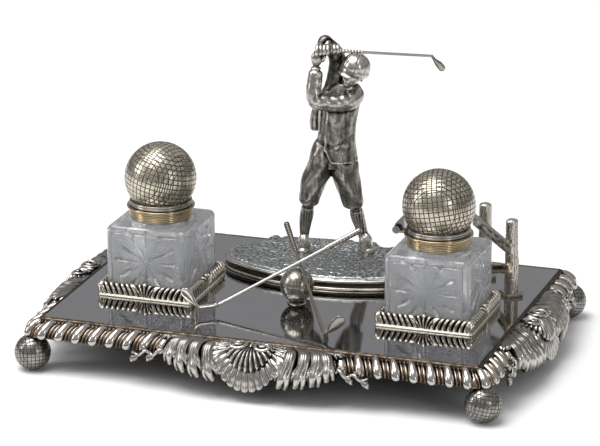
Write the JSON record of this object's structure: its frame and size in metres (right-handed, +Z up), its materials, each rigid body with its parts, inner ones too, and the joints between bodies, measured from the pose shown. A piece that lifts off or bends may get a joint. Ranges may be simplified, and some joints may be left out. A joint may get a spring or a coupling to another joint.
{
  "type": "desk inkstand",
  "caption": "Footed silver-plated inkstand with square cut-glass inkwells under hinged golf-ball lids, a crossed-club pen rest, a rustic fence and a golfer at the top of the swing.",
  "frame": {"origin": "on the table under the middle of the tray", "axes": "+X along the front edge to the right, +Y to the rear, +Z up"},
  "size_m": [0.3112, 0.2226, 0.1774],
  "materials": {
    "mirror_plate": "mirror polished, lightly scratched",
    "cut_glass": "clear lead glass with frosted crosscut faces",
    "gilt_collar": "gilt, polished",
    "dark_figure": "oxidised silver plate, satin",
    "bright_silver": "polished",
    "rustic_silver": "oxidised, rough cast",
    "grass_silver": "oxidised, rough cast",
    "engraved_silver": "satin with dark engraved lines",
    "old_silver": "polished on the high parts, coppery in the hollows"
  },
  "bodies": {
    "stand": {"bright_plate": "mirror_plate", "front_border": "old_silver", "right_border": "old_silver", "rear_border": "old_silver", "left_border": "old_silver", "front_left_corner": "old_silver", "front_right_corner": "old_silver", "rear_right_corner": "old_silver", "rear_left_corner": "old_silver", "front_shell_mount": "old_silver", "right_shell_mount": "old_silver", "rear_shell_mount": "old_silver", "left_shell_mount": "old_silver", "front_left_foot": "engraved_silver", "front_right_foot": "engraved_silver", "rear_right_foot": "engraved_silver", "rear_left_foot": "engraved_silver", "foot_studs": "bright_silver", "fixing_nuts": "bright_silver", "left_gallery": "old_silver", "right_gallery": "old_silver", "left_gadroon_band": "old_silver", "right_gadroon_band": "old_silver", "rest_ball": "engraved_silver", "long_club": "bright_silver", "short_club": "dark_figure", "plinth": "old_silver", "turf": "grass_silver", "golfer": "dark_figure", "golfer_club": "bright_silver", "inner_post": "rustic_silver", "outer_post": "rustic_silver", "post_blocks": "bright_silver", "top_rail": "rustic_silver", "lower_rail": "rustic_silver"},
    "left_inkwell": {"left_glass": "cut_glass", "left_collar": "gilt_collar", "left_hinge_pin": "bright_silver"},
    "right_inkwell": {"right_glass": "cut_glass", "right_collar": "gilt_collar", "right_hinge_pin": "bright_silver"},
    "left_lid": {"left_lid_rim": "engraved_silver", "left_lid_ball": "engraved_silver"},
    "right_lid": {"right_lid_rim": "engraved_silver", "right_lid_ball": "engraved_silver"}
  },
  "joints": [
    {"name": "left_inkwell_lift", "type": "slide", "parent": "stand", "child": "left_inkwell", "axis": [0, 0, 1], "range_m": [0, 0.06]},
    {"name": "right_inkwell_lift", "type": "slide", "parent": "stand", "child": "right_inkwell", "axis": [0, 0, 1], "range_m": [0, 0.06]},
    {"name": "left_lid_hinge", "type": "hinge", "parent": "left_inkwell", "child": "left_lid", "pos_m": [-0.0878, 0.0113, 0.0841], "axis": [-1, 0, 0], "range_deg": [0, 100]},
    {"name": "right_lid_hinge", "type": "hinge", "parent": "right_inkwell", "child": "right_lid", "pos_m": [0.0628, -0.0137, 0.0841], "axis": [0, -1, 0], "range_deg": [0, 100]}
  ]
}
